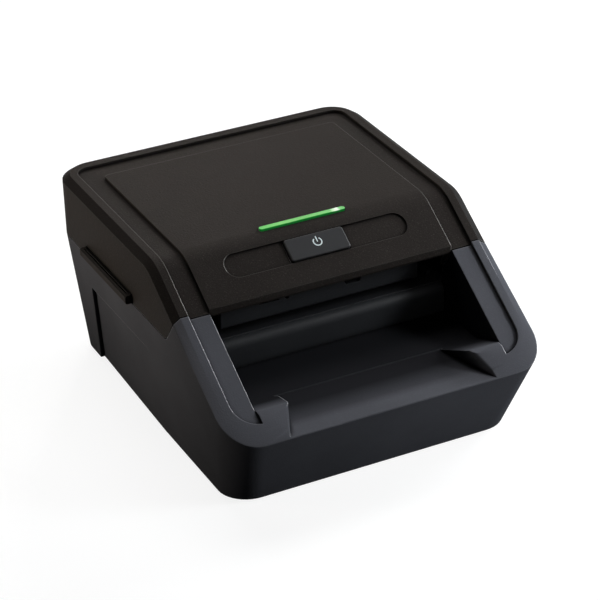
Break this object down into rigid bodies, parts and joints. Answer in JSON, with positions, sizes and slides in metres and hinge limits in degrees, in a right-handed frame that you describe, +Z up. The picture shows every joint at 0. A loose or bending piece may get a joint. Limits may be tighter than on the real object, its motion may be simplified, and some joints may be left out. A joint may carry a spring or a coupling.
{
  "type": "counterfeit money detector",
  "caption": "Counter-top counterfeit money detector: hinged lid with power button and status light, note slot between two sloping arms, front scoop, side latches and a geared roller drive.",
  "frame": {"origin": "on the table, below the middle of the part", "axes": "+X to the right seen from the front, -Y towards the front where the note goes in, +Z up"},
  "size_m": [0.1232, 0.147, 0.0713],
  "materials": {
    "base_housing": "fine satin, bluish dark grey",
    "lid_shell": "fine grained matte, brownish black",
    "power_button": "smooth dark grey",
    "light_bar": "lit green light pipe",
    "inner_plastic": "black",
    "sensor_window": "dark glossy window",
    "gear_plastic": "dark acetal",
    "steel": "plain steel",
    "board": "green lacquered board",
    "rubber": "black rubber"
  },
  "bodies": {
    "base": {"base_housing": "base_housing", "lower_guide": "inner_plastic", "lower_sensor": "sensor_window", "motor": "steel", "main_board": "board", "dc_jack": "inner_plastic", "usb_port": "steel", "hinge_pin_left": "steel", "hinge_pin_right": "steel", "bottom_plate": "base_housing", "foot_front_left": "rubber", "foot_front_right": "rubber", "foot_rear_left": "rubber", "foot_rear_right": "rubber", "plate_screw_front_left": "steel", "plate_screw_front_right": "steel", "plate_screw_rear_left": "steel", "plate_screw_rear_right": "steel"},
    "lid": {"lid_shell": "lid_shell", "upper_guide": "inner_plastic", "upper_sensor": "sensor_window", "magnetic_head": "steel", "light_bar": "light_bar", "lid_board": "board", "power_switch": "inner_plastic"},
    "button": {"power_button": "power_button"},
    "left_latch": {"latch_left": "base_housing"},
    "right_latch": {"latch_right": "base_housing"},
    "front_drive": {"drive_shaft_front": "steel", "drive_roller_front_left": "rubber", "drive_roller_front_right": "rubber", "gear_front": "gear_plastic"},
    "rear_drive": {"drive_shaft_rear": "steel", "drive_roller_rear_left": "rubber", "drive_roller_rear_right": "rubber", "gear_rear": "gear_plastic"},
    "idler": {"idler_gear": "gear_plastic"},
    "pinion": {"motor_pinion": "gear_plastic"},
    "front_pinch": {"pinch_shaft_front": "steel", "pinch_roller_front_left": "rubber", "pinch_roller_front_right": "rubber"},
    "rear_pinch": {"pinch_shaft_rear": "steel", "pinch_roller_rear_left": "rubber", "pinch_roller_rear_right": "rubber"}
  },
  "joints": [
    {"name": "lid_hinge", "type": "hinge", "parent": "base", "child": "lid", "pos_m": [0, 0.071, 0.048], "axis": [-1, 0, 0], "range_deg": [0, 60]},
    {"name": "power_press", "type": "slide", "parent": "lid", "child": "button", "axis": [0, 0.5314, -0.8471], "range_m": [0, 0.0006], "stiffness_N_per_m": 600},
    {"name": "left_latch_squeeze", "type": "slide", "parent": "lid", "child": "left_latch", "axis": [1, 0, 0], "range_m": [0, 0.0015], "stiffness_N_per_m": 900},
    {"name": "right_latch_squeeze", "type": "slide", "parent": "lid", "child": "right_latch", "axis": [-1, 0, 0], "range_m": [0, 0.0015], "stiffness_N_per_m": 900},
    {"name": "rear_drive_spin", "type": "hinge", "parent": "base", "child": "rear_drive", "pos_m": [0, 0.03012, 0.0349], "axis": [1, 0, 0], "continuous": true},
    {"name": "front_drive_spin", "type": "hinge", "parent": "base", "child": "front_drive", "pos_m": [0, -0.002, 0.0349], "axis": [1, 0, 0], "continuous": true},
    {"name": "idler_spin", "type": "hinge", "parent": "base", "child": "idler", "pos_m": [0, 0.01406, 0.0349], "axis": [1, 0, 0], "continuous": true},
    {"name": "motor_spin", "type": "hinge", "parent": "base", "child": "pinion", "pos_m": [0, 0.03921, 0.02581], "axis": [1, 0, 0], "continuous": true},
    {"name": "front_pinch_spin", "type": "hinge", "parent": "lid", "child": "front_pinch", "pos_m": [0, -0.002, 0.0482], "axis": [1, 0, 0], "continuous": true},
    {"name": "rear_pinch_spin", "type": "hinge", "parent": "lid", "child": "rear_pinch", "pos_m": [0, 0.03012, 0.0482], "axis": [1, 0, 0], "continuous": true}
  ],
  "couplings": [
    {"joint": "front_drive_spin", "follows": "rear_drive_spin", "ratio": 1},
    {"joint": "idler_spin", "follows": "rear_drive_spin", "ratio": -1},
    {"joint": "motor_spin", "follows": "rear_drive_spin", "ratio": -1.6667},
    {"joint": "front_pinch_spin", "follows": "rear_drive_spin", "ratio": -1.6},
    {"joint": "rear_pinch_spin", "follows": "rear_drive_spin", "ratio": -1.6}
  ]
}
